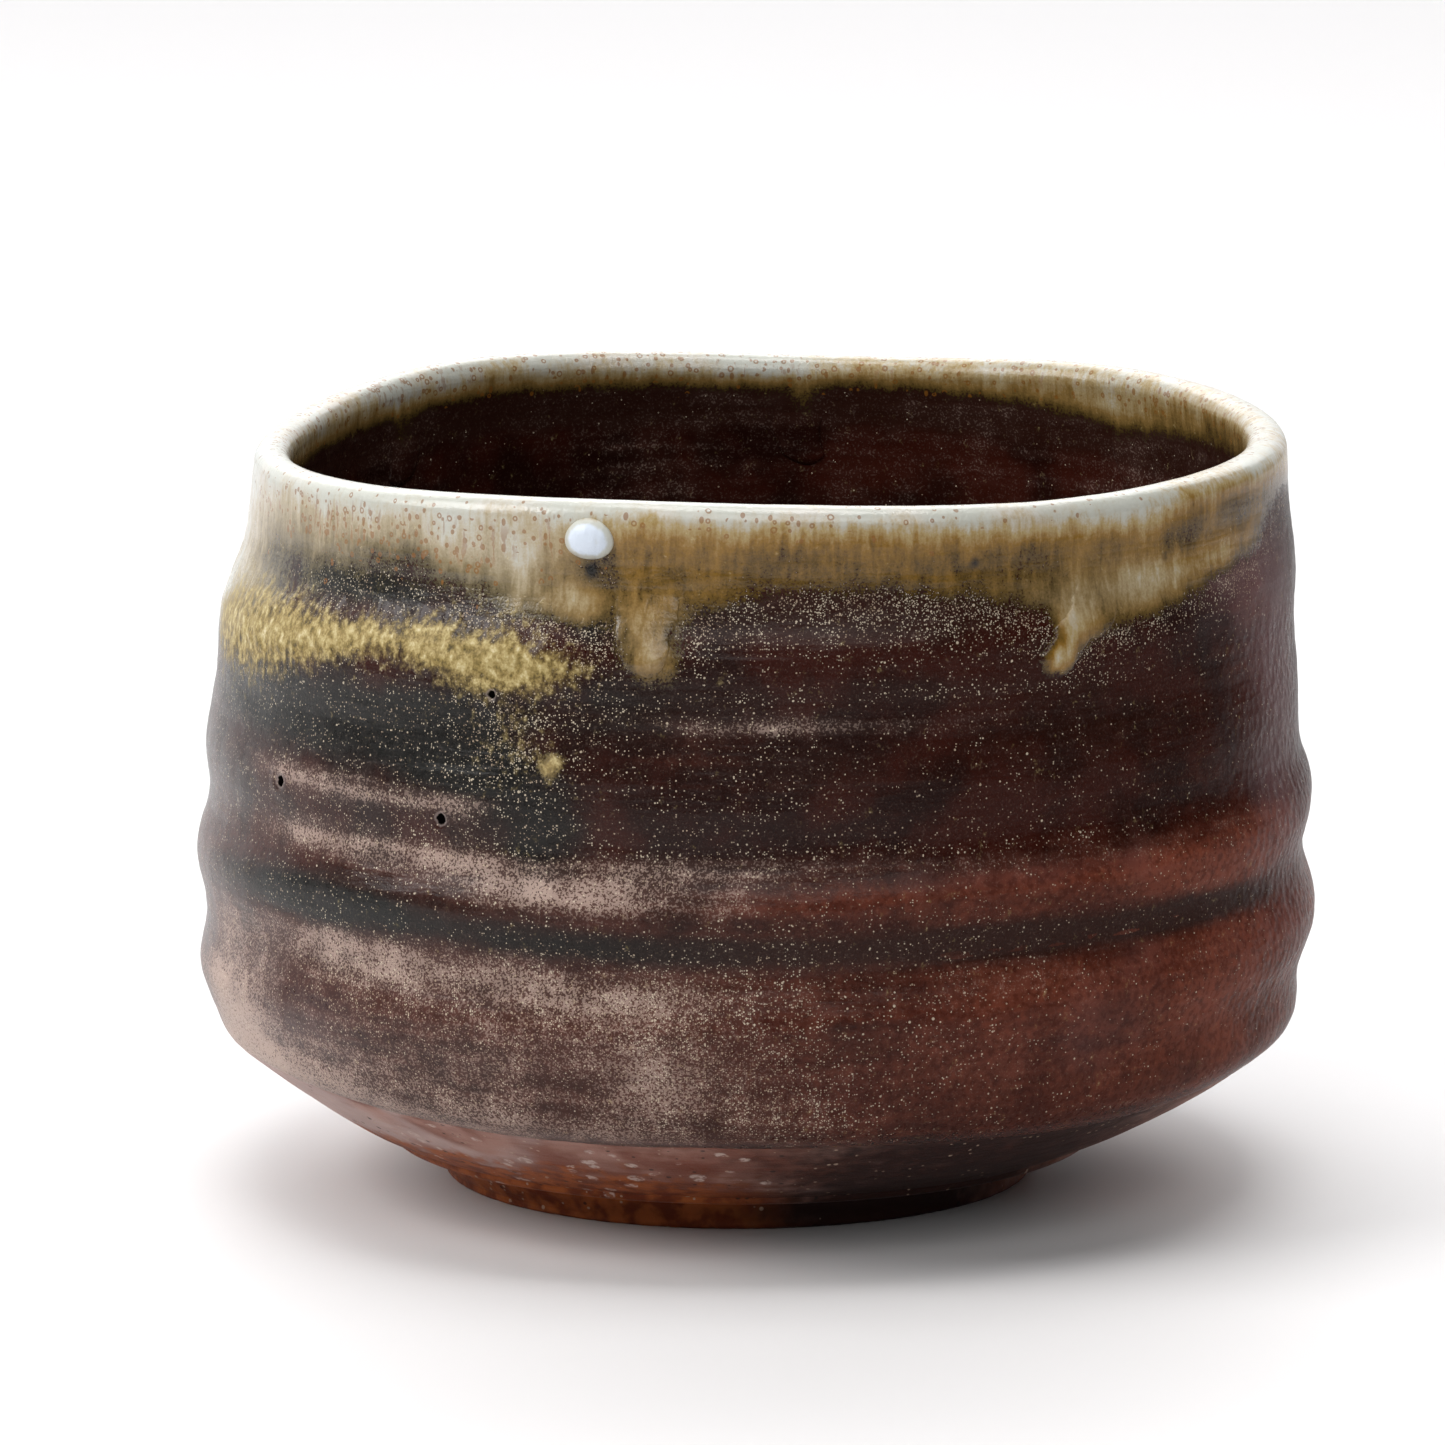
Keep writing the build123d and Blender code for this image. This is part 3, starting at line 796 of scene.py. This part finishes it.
def build_clay_body():
    """The clay under the glazes, with the bare underside. It lies just inside the glaze skins."""
    angle = round_angles(530)
    blocks = []

    def add(height, radius):
        blocks.append(wall_points(angle, height, radius))

    start = -10.0  # under the foot
    floor = reach(caster("clay_body"), (2.0, 1.0, start), (0, 0, 1)) + start
    hollow = [(floor, 0.5), (floor, 8), (floor, 16), (floor, 22.3), (floor - 0.25, 23.2)]
    step = [(floor - 0.9, RECESS_RADIUS), (foot_top, RECESS_RADIUS)]
    underside = [(foot_top, 26), (foot_top, 30), (foot_top + 0.02, 33)]
    add(*np.array(hollow + step + underside).T[..., None])

    bend = column(-np.pi / 2, 0, 9)
    add(EDGE_HEIGHT + 0.9 * np.sin(bend), outside(angle, EDGE_HEIGHT) - EDGE_ROUND * (1 - np.cos(bend)))

    bare = outer_bottom(angle)
    top = bare + 1.0
    height = EDGE_HEIGHT + (top - EDGE_HEIGHT) * column(0, 1, count(70))[1:]
    relief = clay_relief(angle, height) + outside_relief(angle, height) * smooth(height, bare - 3, bare)
    add(height, outside(angle, height) + relief - 0.30 * smooth(height, bare - 0.1, bare + 0.9))

    shoulder = lip_height(angle) - LIP_ROUND
    height = top + (shoulder - top) * column(0, 1, count(34))[1:]
    add(height, glazed_radius(angle, height) - 0.5)

    outer = outside(angle, shoulder) - 0.5
    inner = inside(angle, shoulder) + 0.5
    bend = column(0, np.pi, 10)[1:]
    radius = (outer + inner) / 2 + (outer - inner) / 2 * np.cos(bend)
    add(shoulder + (LIP_ROUND - 0.55) * np.sin(bend), radius)

    height = shoulder + (MIDDLE - shoulder) * column(0, 1, 16)[1:]
    add(height, inside(angle, height) + 0.6)
    blocks.append(floor_points(angle, column(0, -89.3, 40)[1:], deeper=0.6))

    rows = np.concatenate(blocks)
    points = np.concatenate([rows.reshape(-1, 3), [rows[0].mean(0), rows[-1].mean(0)]])
    grid = np.arange(len(points) - 2).reshape(rows.shape[:2])
    faces = hoops(grid) + flipped(fan(grid[0], grid.size)) + fan(grid[-1], grid.size + 1)
    return make_object("clay_wall", points, faces, paint_clay(points))


def build_foot_ring():
    """The turned foot, rounded and worn at its edges, with the cut surface of coarse clay."""
    angle = round_angles(560)
    tree = caster("foot_ring")
    low, high = [ring(lambda a, z=z: outer_radius(tree, a, z))(angle) for z in (0.9, foot_top - 0.35)]
    foot_edge = low - 0.75
    worn = 0.7
    blocks = []

    def add(height, radius):
        blocks.append(wall_points(angle, height, radius))

    quarter = column(0, np.pi / 2, 8)[1:]
    inner_edge = RECESS_RADIUS + worn
    add(foot_top - (foot_top - worn) * column(0, 1, 14), RECESS_RADIUS)
    add(worn * (1 - np.sin(quarter)), RECESS_RADIUS + worn * (1 - np.cos(quarter)))
    add(0.0, inner_edge + (foot_edge - inner_edge) * column(0, 1, 22)[1:])
    add(0.9 * (1 - np.cos(quarter)), foot_edge + (low - foot_edge) * np.sin(quarter))
    step = column(0, 1, 16)[1:]
    add(0.9 + (foot_top - 0.9) * step, low + (high - low) * step)
    add(foot_top, high + (RECESS_RADIUS - high) * column(0, 1, 8)[1:-1])

    points = np.concatenate(blocks)
    radius = np.linalg.norm(points[..., :2], axis=-1, keepdims=True)
    radial = points[..., :2] / radius
    flat = points * np.array([0.25, 0.25, 1.0])
    rough = 0.16 * clouds(points, 5, 3, 101) + 0.10 * clouds(flat, 1.3, 2, 105)
    rough = rough + 0.06 * clouds(points, 1.1, 2, 107)
    sides = smooth(points[..., 2], 0.1, 0.8) * smooth(points[..., 2], foot_top + 0.01, foot_top - 0.3)
    outer = np.where(radius[..., 0] > 27, 1.0, -1.0)
    points[..., :2] += radial * ((rough - 0.12) * sides * outer)[..., None]
    lift = np.clip(0.10 * clouds(points, 3.0, 2, 111), 0, 1)
    lift = lift + np.clip(0.08 * clouds(points, 0.9, 2, 113), 0, 1)
    points[..., 2] += np.where(points[..., 2] < 0.5, lift, 0)
    grid = np.arange(points.size // 3).reshape(points.shape[:2])
    points = points.reshape(-1, 3)
    return make_object("turned_foot", points, hoops(grid) + bridge(grid[-1], grid[0]), paint_clay(points))


# ---------------- shader nodes


class Field:
    """A number, vector or colour at each point of a surface: the output of a shader node."""

    def __init__(self, surface, socket):
        self.surface = surface
        self.socket = socket

    def join(self, operation, first, second):
        return self.surface.field("Math", 0, {0: first, 1: second}, operation=operation)

    def __add__(self, other):
        return self.join("ADD", self, other)

    def __sub__(self, other):
        return self.join("SUBTRACT", self, other)

    def __rsub__(self, other):
        return self.join("SUBTRACT", other, self)

    def __mul__(self, other):
        return self.join("MULTIPLY", self, other)

    def less_than(self, other):
        return self.join("LESS_THAN", self, other)

    def size(self):
        return self.join("ABSOLUTE", self, 0.0)

    def above(self, low, high):
        """0 below low and 1 above high, smooth between."""
        sockets = {"Value": self, "From Min": low, "From Max": high}
        return self.surface.field("MapRange", "Result", sockets, interpolation_type="SMOOTHSTEP")


def tint(code):
    """A colour from its hex code, in the linear form that shaders use."""
    parts = [int(code[i : i + 2], 16) / 255 for i in (0, 2, 4)]
    return tuple(p / 12.92 if p <= 0.04045 else ((p + 0.055) / 1.055) ** 2.4 for p in parts)


class Surface:
    """A material being built. Its fields are in millimetres of the object's own space."""

    def __init__(self, name):
        self.material = bpy.data.materials.new(name)
        self.material.use_nodes = True
        self.tree = self.material.node_tree
        self.tree.nodes.clear()
        self.principled = self.node("BsdfPrincipled")
        self.node("OutputMaterial", {0: Field(self, self.principled.outputs[0])})
        self.place = self.scaled(self.field("TexCoord", "Object"), (1 / MM, 1 / MM, 1 / MM))
        self.normal = None
        self.colour = "d8d6d6"  # pale grey, for a surface that is given no other

    def plug(self, socket, value):
        """Links a field to a socket, or sets a number, a vector or the hex code of a colour on it."""
        if isinstance(value, Field):
            self.tree.links.new(value.socket, socket)
        else:
            socket.default_value = (*tint(value), 1.0) if isinstance(value, str) else value

    def node(self, kind, inputs=None, **settings):
        """A shader node with these settings, and with fields or constants on its inputs."""
        node = self.tree.nodes.new("ShaderNode" + kind)
        for name, value in settings.items():
            setattr(node, name, value)
        for socket, value in (inputs or {}).items():
            self.plug(node.inputs[socket], value)
        return node

    def field(self, kind, output, inputs=None, **settings):
        """One output of a new node."""
        return Field(self, self.node(kind, inputs, **settings).outputs[output])

    def scaled(self, vector, amounts):
        return self.field("VectorMath", 0, {0: vector, 1: amounts}, operation="MULTIPLY")

    def paint(self, name):
        return self.field("Attribute", "Fac", attribute_name=name)

    def noise(self, size, detail, stretch=None, rough=0.5, warp=0.0):
        """Noise from 0 to 1, mostly 0.3 to 0.7, whose bumps are about this size, divided by stretch."""
        place = self.scaled(self.place, stretch) if stretch else self.place
        sockets = {"Scale": 1 / size, "Vector": place, "Detail": detail, "Roughness": rough}
        return self.field("TexNoise", "Fac", {**sockets, "Distortion": warp})

    def cells(self, size, stretch=(1, 1, 1), shift=0.0):
        """Random cells: the distance from each one's middle, and two random numbers for each."""
        sockets = {0: self.scaled(self.place, stretch), 1: (shift, shift * 1.7, shift * 2.3)}
        place = self.field("VectorMath", 0, sockets, operation="ADD")
        node = self.node("TexVoronoi", {"Scale": 1 / size, "Vector": place})
        split = self.node("SeparateColor", {0: Field(self, node.outputs["Color"])})
        return [Field(self, socket) for socket in (node.outputs["Distance"], *split.outputs[:2])]

    def specks(self, size, density, radius, stretch=(1, 1, 1), shift=0.0):
        """1 in small round specks, one in each cell of this size, where density is over a random number."""
        distance, chance, scale = self.cells(size, stretch, shift)
        reach_of_speck = scale * (radius * 0.7) + radius * 0.55
        disc = 1.0 - (distance - reach_of_speck).above(-0.08, 0.05)
        return disc * chance.less_than(density)

    def away_from(self, point):
        """The distance from a point."""
        return self.field("VectorMath", "Value", {0: self.place, 1: point}, operation="DISTANCE")

    def mix(self, share, first, second):
        """A blend of two colours, or of two numbers."""
        colour = isinstance(second, str) or isinstance(second, Field) and second.socket.type == "RGBA"
        start, end, result = (6, 7, 2) if colour else (2, 3, 0)  # the node's sockets for that kind
        sockets = {0: share, start: first, end: second}
        return self.field("Mix", result, sockets, data_type="RGBA" if colour else "FLOAT")

    def cover(self, share, colour):
        """Lays a colour over the surface's own."""
        self.colour = self.mix(share, self.colour, colour)

    def ramp(self, value, stops):
        """A colour that changes along a value. Each stop is (value, hex code)."""
        node = self.node("ValToRGB", {0: value})
        points = node.color_ramp.elements
        while len(points) < len(stops):
            points.new(0.5)
        for point, (place, code) in zip(points, stops):
            point.position = place
            point.color = (*tint(code), 1.0)
        return Field(self, node.outputs[0])

    def bump(self, height, distance):
        """Adds fine relief: height 1 stands this many millimetres proud."""
        sockets = {"Strength": 1.0, "Distance": distance * MM, "Height": height}
        if self.normal is not None:
            sockets["Normal"] = self.normal
        self.normal = self.field("Bump", "Normal", sockets)

    def finish(self, roughness, **others):
        sockets = {"Base_Color": self.colour, "Roughness": roughness, **others}
        if self.normal is not None:
            sockets["Normal"] = self.normal
        for name, value in sockets.items():
            self.plug(self.principled.inputs[name.replace("_", " ")], value)
        return self.material


# ---------------- materials

# The ash glaze from thin to thick, where it turned golden and where it stayed grey
GOLDEN = [
    (0.26, "2c210a"), (0.42, "574010"), (0.58, "815f22"), (0.74, "9e8a5f"), (0.88, "aea491"), (1.0, "bab6ad"),
]
GREY = [
    (0.26, "34301f"), (0.42, "5a523d"), (0.58, "82785f"), (0.74, "a29780"), (0.88, "b1a99a"), (1.0, "bdb9b1"),
]
STRAW = [(0.30, "40361a"), (0.42, "64552a"), (0.54, "8a7645"), (0.67, "ad9c6b"), (0.82, "d0c5a4")]


def glaze(name):
    """The fired glaze of the wall. The paints on the mesh tell where it is iron, ochre, ash or crust, and
    where sheen and shade are painted.
    """
    s = Surface(name)
    ash, ochre, cream, dust_and_sheen, dark, red, violet_sheen, speck, rust, hole, leather, gloss = map(s.paint, PAINTS)
    big = s.noise(9.0, 3)
    mid = s.noise(2.6, 3)
    fine = s.noise(0.75, 2)
    grain = s.noise(0.24, 1, rough=0.6)
    lines = s.noise(1.3, 2, stretch=(0.1, 0.1, 1.0))
    hair = s.noise(0.6, 3, stretch=(1.0, 1.0, 0.16), warp=0.4)
    streak = s.noise(1.9, 3, stretch=(1.0, 1.0, 0.34), warp=0.3)
    fibre = s.noise(0.95, 3, stretch=(1.0, 1.0, 0.75), rough=0.55)

    # Iron glaze, from red-brown to almost black
    s.colour = s.mix(big.above(0.38, 0.62), "30110a", "1d0905")
    brick = s.mix((fine * 0.5 + big * 0.5).above(0.38, 0.62), "54281c", "733a29")
    s.cover((red + (mid - 0.5) * 0.5 + (lines - 0.5) * 0.5).above(0.0, 1.15), brick)
    # Black glaze, and painted shade where the dark paint marks the band under the crest.
    black_and_shade = s.mix(gloss.above(0.72, 0.95), "2a150f", "151412")
    s.cover((dark + (mid - 0.5) * 0.5).above(0.1, 0.95), black_and_shade)
    # Painted sheen: a lavender-grey painted reflection near the edges of the wall.
    s.cover((violet_sheen + (big - 0.5)).above(0.1, 1.2) * 0.7, "6a4f50")

    # Ash dust that melted in as a film and as grains; on the lower left edge the film is painted sheen.
    film = (dust_and_sheen + (mid - 0.5) * 0.5 + (lines - 0.5) * 0.5).above(0.05, 1.15)
    s.cover(film * 0.36, "7a635a")
    grains = (grain + film * 0.26 + (fine - 0.5) * 0.25).above(0.58, 0.68)
    s.cover(grains * (film * 0.85 + 0.05), "ad978b")

    # Pale specks of three sizes
    crowd = speck * (mid * 0.7 + 0.3)
    pale = s.specks(0.21, crowd * 0.62, 0.36)
    pale = pale + s.specks(0.36, crowd * 0.36, 0.28, shift=5.1)
    pale = (pale + s.specks(0.8, crowd * 0.16 - 0.01, 0.17, shift=9.7)).above(0.1, 0.8)
    s.cover(pale * 0.72, s.mix(mid.above(0.4, 0.6), "a8947f", "c9bca6"))

    # The ash glaze: ochre where it is thin, milky where it is thick, and bluish where it pooled
    runny = (ash - 0.35).above(0.0, 0.3) * 0.26 + 0.10
    thick = ash + (fine - 0.5) * 0.14 + (hair - 0.5) * runny + (streak - 0.5) * 0.34
    thick = thick + (big - 0.5) * 0.22 + (mid - 0.5) * 0.12 + (grain - 0.5) * 0.14
    golden = s.ramp(thick, GOLDEN)
    grey = s.ramp(thick, GREY)
    milk = s.mix(ochre, grey, golden)
    milk = s.mix((thick - 0.72).above(0.0, 0.25) * (big - 0.36).above(0.0, 0.2) * 0.7, milk, "b0b3aa")
    milk = s.mix((thick - 1.1).above(0.0, 0.42), milk, "c9d2de")
    edge = (thick + (grain - 0.5) * 0.5).above(0.22, 0.38)
    s.cover(edge, milk)

    # The crust of ash
    tufts = (cream + (fibre - 0.5) * 1.1 + (fine - 0.5) * 0.5 + (grain - 0.5) * 0.4).above(0.15, 0.85)
    straw = s.ramp(fibre * 0.8 + (grain - 0.5) * 0.24 + (fine - 0.5) * 0.3 + cream * 0.16 + 0.02, STRAW)
    s.cover(tufts, straw)

    # Rust rings, freckles and trails, and dark holes; the pinholes get a painted glint round them and painted
    # shade inside.
    distance, chance, scale = s.cells(0.95)
    ringlet = 1.0 - (distance + (fine - 0.5) * 0.2 - (scale * 0.14 + 0.16)).size().above(0.04, 0.14)
    freckle = s.specks(0.7, rust * 0.25, 0.34, stretch=(1.0, 1.0, 0.6), shift=3.3)
    trail = (hair + (fine - 0.5) * 0.4).above(0.52, 0.66) * rust.above(0.1, 0.9) * big.above(0.42, 0.6) * 0.8
    rusty = (ringlet * chance.less_than(rust * 0.85) * 1.1 + freckle + trail).above(0.1, 1.0)
    s.cover(rusty * 0.66, "7c4e1c")
    s.cover(hole.above(0.15, 0.7), "0d0c0a")
    pit = 0.0
    if name == "iron_glaze":
        for middle, level, size in PINHOLES:
            centre = wall_points(middle, level, glazed_radius(middle, level) + 0.45)
            gap = s.away_from(tuple(centre.tolist())) + (fine - 0.5) * 0.5
            # Painted highlight: a pale ring round each pinhole stands for a glint on its lip.
            s.cover((1.0 - gap.above(size * 1.2, size * 1.8)) * 0.35, "a3948e")
            pit = 1.0 - gap.above(size * 0.95, size * 1.2) + pit
        # Painted shade: the pinholes are painted near black inside.
        s.cover(pit, "050404")

    rough = s.mix(film, 0.28, 0.45)
    rough = s.mix(edge, rough, 0.42 if name == "bead_glaze" else 0.22)
    rough = s.mix(tufts, rough, 0.5)
    rough = rough + (fine - 0.5) * 0.12
    shine = s.mix(edge, gloss * gloss * 0.24 + 0.01, gloss * 0.3 + 0.2) * (1.0 - pit)

    pits = s.cells(1.15, shift=2.0)[0]
    relief = lines * 0.10 + mid * 0.07 + grain * 0.02 + hair * ash * 0.07 + tufts * fibre * 0.07
    s.bump(relief + pits * leather * 0.12, 1.0)
    return s.finish(rough, IOR=1.5, Specular_IOR_Level=shine)


def clay(name):
    """The bare clay: satin and mauve where flame and ash flashed it, orange or almost black elsewhere, with
    painted sheen on the lower left and painted shade on the lower front right.
    """
    s = Surface(name)
    orange, dark, pale, red = map(s.paint, ("orange", "dark", "pale", "red"))
    big = s.noise(7.0, 4)
    mid = s.noise(2.0, 4)
    fine = s.noise(0.6, 3)
    grain = s.noise(0.18, 2)
    marks = s.noise(0.9, 4, stretch=(0.08, 0.08, 1.0))
    s.colour = s.mix(big.above(0.4, 0.6), "7f5346", "a07a6e")
    s.cover((red + (marks - 0.5) * 1.2).above(0.2, 1.0) * 0.7, "66301f")
    # Painted sheen: where red is low, on the lower left, the clay is painted pale grey-mauve.
    s.cover((0.3 - red + (marks - 0.5) * 0.5).above(0.0, 0.5) * 0.65, "b5a29d")
    warm = s.mix(mid.above(0.35, 0.65), "642b13", "965026")
    s.cover((orange + (mid - 0.5) * 1.1 + (marks - 0.5) * 0.8).above(0.25, 0.8), warm)
    # Almost black clay, and painted shade on the lower front right.
    s.cover((dark + (mid - 0.5) * 0.6).above(0.2, 0.9), "28100a")
    flakes = s.specks(2.3, pale * 0.5, 0.34, stretch=(1.0, 1.0, 1.25), shift=1.3)
    s.cover(flakes * (fine.above(0.40, 0.54) * 0.8 + 0.1), "bda89e")
    grit = s.specks(0.7, 0.10, 0.3, shift=7.7)
    s.cover(grit * 0.7, "b29a86")
    s.cover(s.specks(0.9, 0.07, 0.3, shift=4.4) * 0.8, "150b08")
    s.bump(grain * 0.5 + fine * 0.6 + grit * 0.6 - flakes * 0.5, 0.07)
    s.bump(marks * 0.8 + mid * 0.5, 0.2)
    return s.finish(s.mix(grain, 0.42, 0.62), IOR=1.45, Specular_IOR_Level=0.18)


# ---------------- the pieces

PIECES = [
    ([build_clay_body()], "clay_body", "clay", clay),
    ([build_foot_ring()], "foot_ring", "foot_clay", clay),
    ([build_outer_glaze()], "outer_glaze", "iron_glaze", glaze),
    ([build_inner_glaze()], "inner_glaze", "inner_glaze", glaze),
    ([build_rim_glaze()], "rim_glaze", "ash_glaze", glaze),
    (build_outer_runs(), "outer_runs", "run_glaze", glaze),
    (build_inner_runs(), "inner_runs", "ash_glaze", glaze),
    ([build_ash_crust()], "ash_crust", "ash_crust", glaze),
    ([build_bead()], "glaze_bead", "bead_glaze", glaze),
]
finishes = {}
for things, node, slot_name, make_material in PIECES:
    if slot_name not in finishes:
        finishes[slot_name] = make_material(slot_name)
    for thing in things:
        thing.data.materials.append(finishes[slot_name])
        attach(thing, "root")
        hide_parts(node)


# ---------------- floor, lights and camera, in metres

FLOOR = 4  # half its width
AIM = Vector((0, 0, 0.05))  # where the lights point

floor_mesh = bpy.data.meshes.new("floor")
corners = [(-FLOOR, -FLOOR, 0), (FLOOR, -FLOOR, 0), (FLOOR, FLOOR, 0), (-FLOOR, FLOOR, 0)]
floor_mesh.from_pydata(corners, [], [(0, 1, 2, 3)])
floor_mesh.materials.append(Surface("table_top").finish(0.6))
floor = bpy.data.objects.new("floor", floor_mesh)
bpy.context.scene.collection.objects.link(floor)


def softbox(name, place, width, height, power):
    """A rectangular light that faces the bowl."""
    light = bpy.data.lights.new(name, "AREA")
    light.shape = "RECTANGLE"
    light.size = width
    light.size_y = height
    light.energy = power
    thing = bpy.data.objects.new(name, light)
    thing.location = place
    thing.rotation_euler = (AIM - Vector(place)).to_track_quat("-Z", "Y").to_euler()
    bpy.context.scene.collection.objects.link(thing)


softbox("key", (-1.05, -0.30, 0.78), 0.8, 0.7, 13)
softbox("front", (0.25, -1.3, 1.0), 1.4, 0.9, 11)
softbox("overhead", (0.0, 0.05, 1.3), 0.9, 0.6, 11)
softbox("backdrop", (0, 1.6, 1.3), 2.5, 1.2, 24)

# A sky that is bright behind the bowl and dim elsewhere
world = bpy.data.worlds.new("studio")
bpy.context.scene.world = world
world.use_nodes = True
sky = world.node_tree
background = sky.nodes["Background"]
background.inputs["Color"].default_value = (0.97, 0.98, 1.0, 1)
lit_from = sky.nodes.new("ShaderNodeVectorMath")
lit_from.operation = "DOT_PRODUCT"
lit_from.inputs[1].default_value = (-0.36, 1.0, 0.15)
brightness = sky.nodes.new("ShaderNodeMapRange")
brightness.interpolation_type = "SMOOTHSTEP"
for key, value in {"From Min": 0.42, "From Max": 0.92, "To Min": 0.07, "To Max": 1.3}.items():
    brightness.inputs[key].default_value = value
sky.links.new(sky.nodes.new("ShaderNodeTexCoord").outputs["Generated"], lit_from.inputs[0])
sky.links.new(lit_from.outputs["Value"], brightness.inputs["Value"])
sky.links.new(brightness.outputs["Result"], background.inputs["Strength"])

camera = bpy.data.cameras.new("camera")
camera.lens = 259.6
camera.sensor_width = 36
camera.clip_end = 20
camera_object = bpy.data.objects.new("camera", camera)
camera_object.location = (0, -1.1, 0.2475)
camera_object.rotation_euler = (math.radians(90 - 10.25), 0, math.radians(0.178))
bpy.context.scene.collection.objects.link(camera_object)
bpy.context.scene.camera = camera_object
bpy.context.scene.view_settings.view_transform = "Standard"
bpy.context.scene.view_settings.look = "None"
